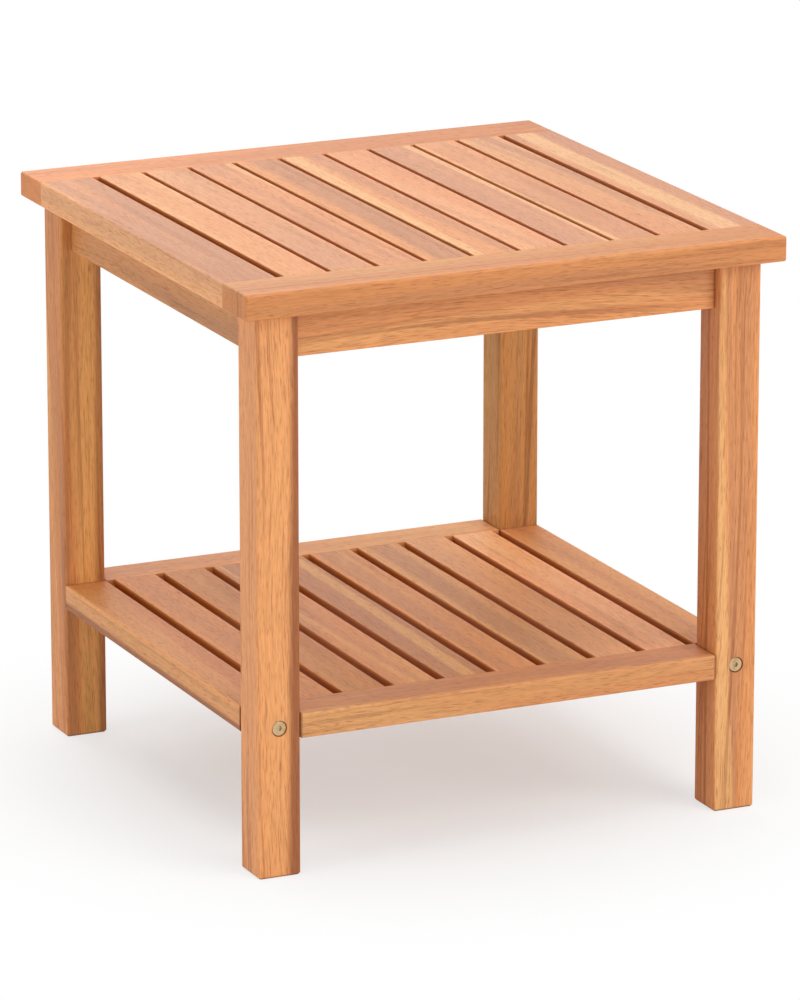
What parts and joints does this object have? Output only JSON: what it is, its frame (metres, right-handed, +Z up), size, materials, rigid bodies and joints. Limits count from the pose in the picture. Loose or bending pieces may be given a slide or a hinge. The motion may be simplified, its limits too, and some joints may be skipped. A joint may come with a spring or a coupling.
{
  "type": "side table with shelf",
  "caption": "Square two-tier side table in oiled hardwood with a slatted top on four square legs, an apron frame under the top and a slatted shelf bolted between the legs",
  "frame": {"origin": "on the floor under the centre of the table", "axes": "+X right along the front, +Y towards the back, +Z up"},
  "size_m": [0.45, 0.45, 0.46],
  "materials": {
    "acacia_frame": "oiled",
    "acacia_slat": "oiled",
    "acacia_inner": "sanded",
    "beech": "sanded",
    "brass_plate": "yellow plated",
    "zinc_steel": "zinc plated"
  },
  "bodies": {
    "root": {"leg_front_left": "acacia_frame", "leg_front_right": "acacia_frame", "leg_back_left": "acacia_frame", "leg_back_right": "acacia_frame", "apron_front": "acacia_frame", "apron_back": "acacia_frame", "apron_left": "acacia_frame", "apron_right": "acacia_frame", "top_rail_front": "acacia_frame", "top_rail_back": "acacia_frame", "shelf_rail_front": "acacia_frame", "shelf_rail_back": "acacia_frame", "top_side_slat_left": "acacia_slat", "top_side_slat_right": "acacia_slat", "top_slat_1": "acacia_slat", "top_slat_2": "acacia_slat", "top_slat_3": "acacia_slat", "top_slat_4": "acacia_slat", "top_slat_5": "acacia_slat", "top_slat_6": "acacia_slat", "top_slat_7": "acacia_slat", "top_slat_8": "acacia_slat", "top_slat_9": "acacia_slat", "shelf_side_slat_left": "acacia_slat", "shelf_side_slat_right": "acacia_slat", "shelf_slat_1": "acacia_slat", "shelf_slat_2": "acacia_slat", "shelf_slat_3": "acacia_slat", "shelf_slat_4": "acacia_slat", "shelf_slat_5": "acacia_slat", "shelf_slat_6": "acacia_slat", "shelf_slat_7": "acacia_slat", "shelf_slat_8": "acacia_slat", "corner_block_front_left": "acacia_inner", "corner_block_front_right": "acacia_inner", "corner_block_back_left": "acacia_inner", "corner_block_back_right": "acacia_inner", "top_batten": "acacia_inner", "shelf_batten_front": "acacia_inner", "shelf_batten_back": "acacia_inner", "shelf_bolts": "brass_plate", "shelf_barrel_nuts": "brass_plate", "hanger_bolts": "zinc_steel", "hanger_washers": "zinc_steel", "hanger_nuts": "zinc_steel", "corner_block_screws": "zinc_steel", "top_screws": "zinc_steel", "top_batten_screws": "zinc_steel", "shelf_batten_screws": "zinc_steel", "shelf_dowels": "beech"}
  },
  "joints": []
}
